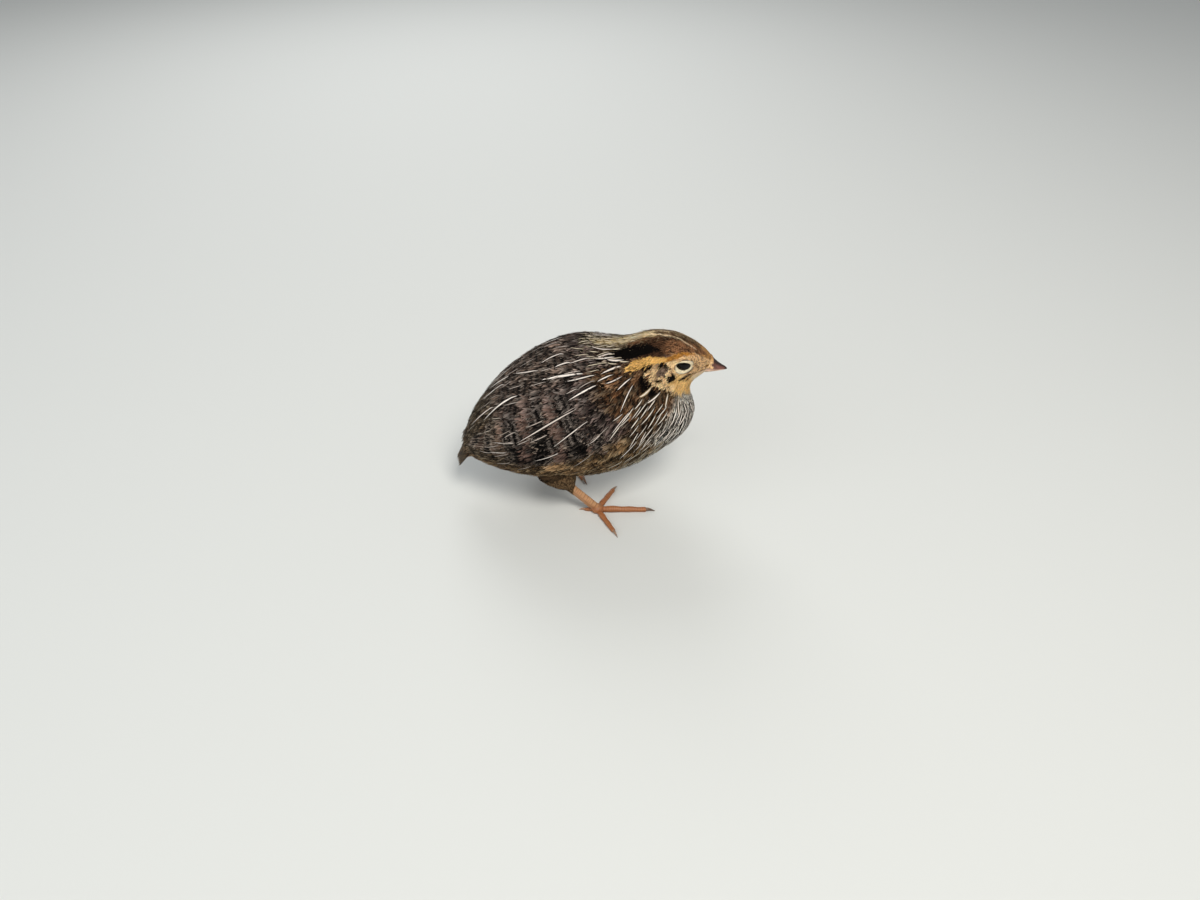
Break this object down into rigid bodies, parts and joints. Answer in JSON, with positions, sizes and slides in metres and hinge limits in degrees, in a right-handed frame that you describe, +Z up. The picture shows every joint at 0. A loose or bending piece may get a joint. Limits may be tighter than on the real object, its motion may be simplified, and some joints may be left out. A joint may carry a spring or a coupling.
{
  "type": "coturnix quail",
  "caption": "Young coturnix quail standing at rest, a still life-size model with folded wings, short drooping tail and bare scaled legs.",
  "frame": {"origin": "on the floor below the middle of the bird's length and width", "axes": "+X the way the bill points, +Y to the bird's left, +Z up"},
  "size_m": [0.1271, 0.0728, 0.0901],
  "materials": {
    "head_plumage": "soft small feathers, matt, streaked brown, ochre and black",
    "neck_plumage": "soft small feathers, matt, dark with cream shaft streaks",
    "body_plumage": "body feathers, matt, barred dark brown and buff with cream streaks",
    "thigh_plumage": "soft loose feathers, matt, pale buff brown",
    "wing_feathers": "vaned feathers, faint sheen, barred black and grey brown",
    "tail_feathers": "vaned feathers, faint sheen, dark with pale bars",
    "upper_bill": "horn, satin, reddish brown and darker at the tip",
    "lower_bill": "horn, satin, pinkish",
    "eye": "wet gloss, near black",
    "leg_skin": "horny scutes, satin, orange flesh",
    "claw": "horn, satin, greyish brown"
  },
  "bodies": {
    "root": {"head": "head_plumage", "neck": "neck_plumage", "torso": "body_plumage", "tail": "tail_feathers", "bill_upper": "upper_bill", "bill_lower": "lower_bill", "eye_right": "eye", "wing_right": "wing_feathers", "thigh_right": "thigh_plumage", "shank_right": "leg_skin", "toe_inner_right": "leg_skin", "toe_middle_right": "leg_skin", "toe_outer_right": "leg_skin", "toe_hind_right": "leg_skin", "claw_inner_right": "claw", "claw_middle_right": "claw", "claw_outer_right": "claw", "claw_hind_right": "claw", "eye_left": "eye", "wing_left": "wing_feathers", "thigh_left": "thigh_plumage", "shank_left": "leg_skin", "toe_inner_left": "leg_skin", "toe_middle_left": "leg_skin", "toe_outer_left": "leg_skin", "toe_hind_left": "leg_skin", "claw_inner_left": "claw", "claw_middle_left": "claw", "claw_outer_left": "claw", "claw_hind_left": "claw"}
  },
  "joints": []
}
